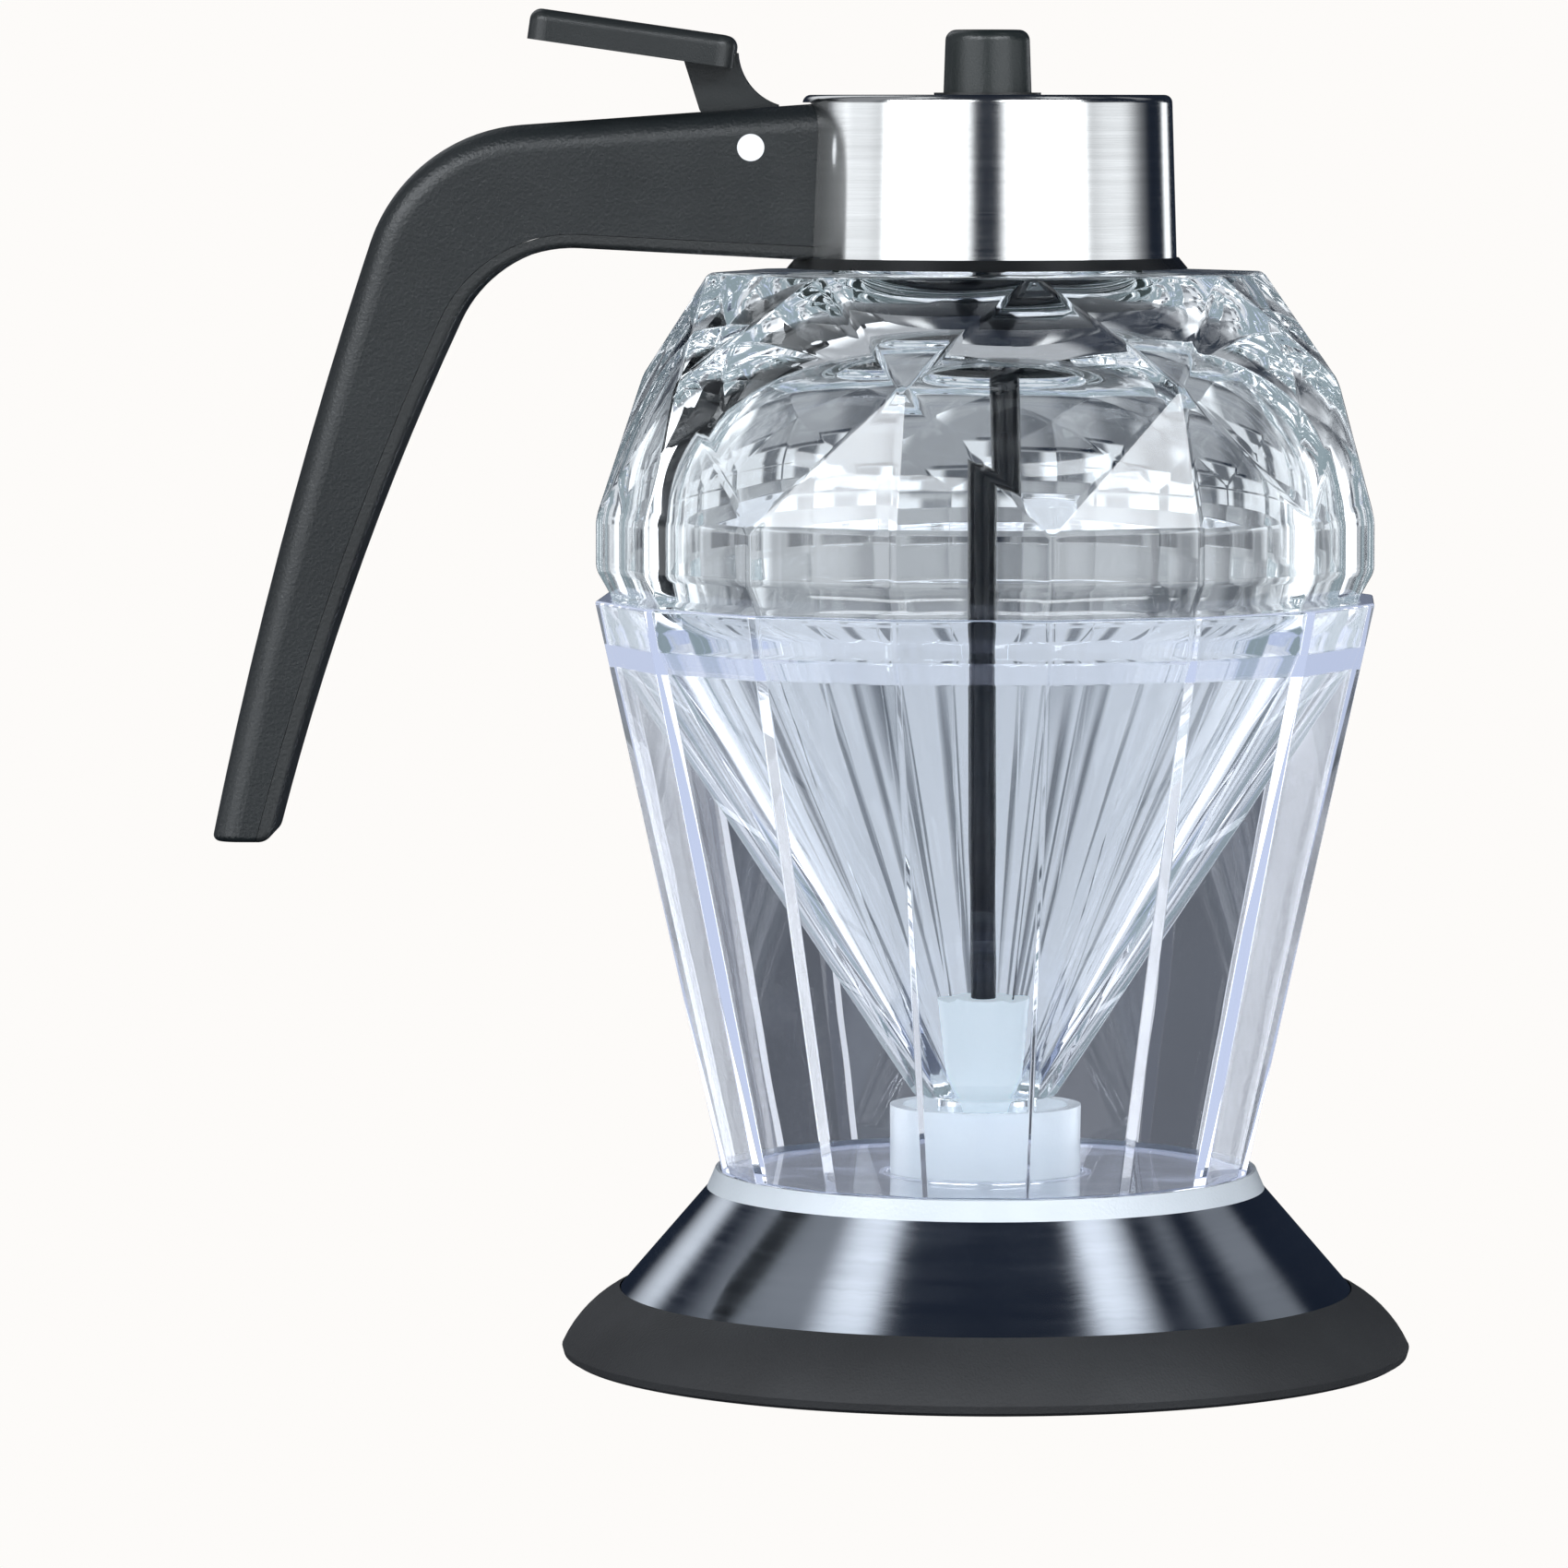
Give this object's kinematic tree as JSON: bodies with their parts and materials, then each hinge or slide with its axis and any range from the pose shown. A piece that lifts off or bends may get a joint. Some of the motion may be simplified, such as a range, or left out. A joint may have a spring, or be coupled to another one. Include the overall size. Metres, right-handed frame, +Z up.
{
  "type": "oil dispenser",
  "caption": "Cut-glass oil or honey dispenser with a screw lid, side handle and thumb lever that lifts a valve plunger, seated in a clear faceted stand on a flared steel base.",
  "frame": {"origin": "on the jar's axis, at the underside of the rubber foot", "axes": "+Z up along the jar's axis; the handle and lever point along -X; Y runs across the handle"},
  "size_m": [0.1336, 0.095, 0.1504],
  "materials": {
    "foot_rubber": "matt black rubber",
    "skirt_steel": "stainless steel, brushed round the cone",
    "core_plastic": "pale grey moulded plastic",
    "ring_plastic": "frosted white plastic",
    "cup_acrylic": "clear acrylic with a faint cool tint",
    "well_acrylic": "clear acrylic, slightly milky",
    "jar_glass": "clear pressed glass",
    "gasket_silicone": "translucent silicone",
    "lid_plastic": "black moulded plastic",
    "cap_steel": "stainless steel, brushed round the cap",
    "bush_plastic": "black moulded plastic",
    "rod_plastic": "black moulded plastic",
    "plug_silicone": "translucent white silicone",
    "knob_plastic": "black satin plastic",
    "handle_plastic": "black plastic with a fine spark-eroded grain",
    "cover_plastic": "black plastic with a fine spark-eroded grain",
    "pin_steel": "polished stainless steel",
    "screw_steel": "plain stainless steel",
    "spring_steel": "stainless spring wire",
    "lever_plastic": "black satin plastic"
  },
  "bodies": {
    "stand": {"rubber_foot": "foot_rubber", "skirt": "skirt_steel", "base_core": "core_plastic", "seat_ring": "ring_plastic", "stand_cup": "cup_acrylic", "drip_well": "well_acrylic"},
    "jar": {"jar_glass": "jar_glass"},
    "seal": {"neck_gasket": "gasket_silicone"},
    "head": {"lid_body": "lid_plastic", "steel_cap": "cap_steel", "knob_bush": "bush_plastic", "handle_body": "handle_plastic", "handle_cover": "cover_plastic", "pivot_pin": "pin_steel", "handle_screws": "screw_steel", "return_spring": "spring_steel"},
    "lever": {"lever": "lever_plastic"},
    "plunger": {"plunger_rod": "rod_plastic", "valve_plug": "plug_silicone", "knob": "knob_plastic"}
  },
  "joints": [
    {"name": "jar_lift", "type": "slide", "parent": "stand", "child": "jar", "axis": [0, 0, 1], "range_m": [0, 0.065]},
    {"name": "lid_rise", "type": "slide", "parent": "jar", "child": "seal", "axis": [0, 0, 1], "range_m": [0, 0.00517]},
    {"name": "lid_turn", "type": "hinge", "parent": "seal", "child": "head", "pos_m": [0, 0, 0.1288], "axis": [0, 0, 1], "range_deg": [0, 620]},
    {"name": "lever_press", "type": "hinge", "parent": "head", "child": "lever", "pos_m": [-0.0261, 0, 0.1351], "axis": [0, -1, 0], "range_deg": [0, 11], "stiffness_Nm_per_rad": 0.1, "springref_deg": -17.19, "deforming": ["return_spring"]},
    {"name": "plunger_lift", "type": "slide", "parent": "head", "child": "plunger", "axis": [0, 0, 1], "range_m": [0, 0.00501]}
  ],
  "couplings": [
    {"joint": "lid_turn", "follows": "lid_rise", "rad_per_m": 2094.4},
    {"joint": "lever_press", "follows": "plunger_lift", "rad_per_m": 38.338}
  ]
}
